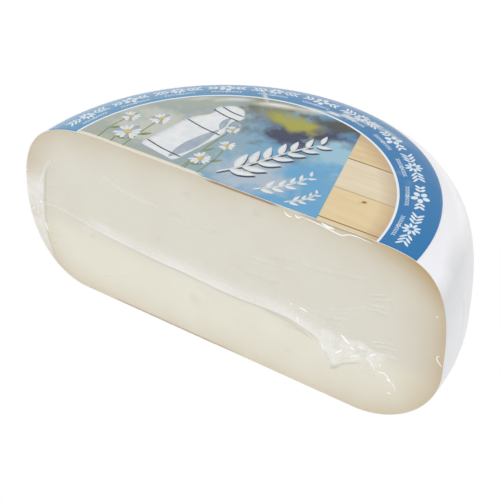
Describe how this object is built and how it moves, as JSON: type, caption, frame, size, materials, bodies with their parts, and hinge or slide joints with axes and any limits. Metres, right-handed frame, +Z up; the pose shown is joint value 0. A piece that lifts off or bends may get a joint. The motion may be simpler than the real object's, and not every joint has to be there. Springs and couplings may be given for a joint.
{
  "type": "goat cheese half wheel",
  "caption": "Half of a round pale goat cheese, cut straight across, with a printed paper label on its flat top, wrapped tight in clear film and lying on its flat base.",
  "frame": {"origin": "at the height of the flat base, under the middle of the box round the whole part", "axes": "+Z up from the flat base, +X along the cut to its right end as seen from in front of the cut face, -Y out of the cut face"},
  "size_m": [0.25, 0.1252, 0.1034],
  "materials": {
    "cheese": "pale ivory pressed curd, smooth and faintly waxy, darker and more beige towards the rind",
    "rind": "smooth white coated rind",
    "film": "thin clear film, glossy, milky where it is folded or bunched",
    "label": "printed paper, blue band with a white line round a pale picture"
  },
  "bodies": {
    "root": {"wrapped_half_wheel": "cheese", "label": "label"}
  },
  "joints": []
}
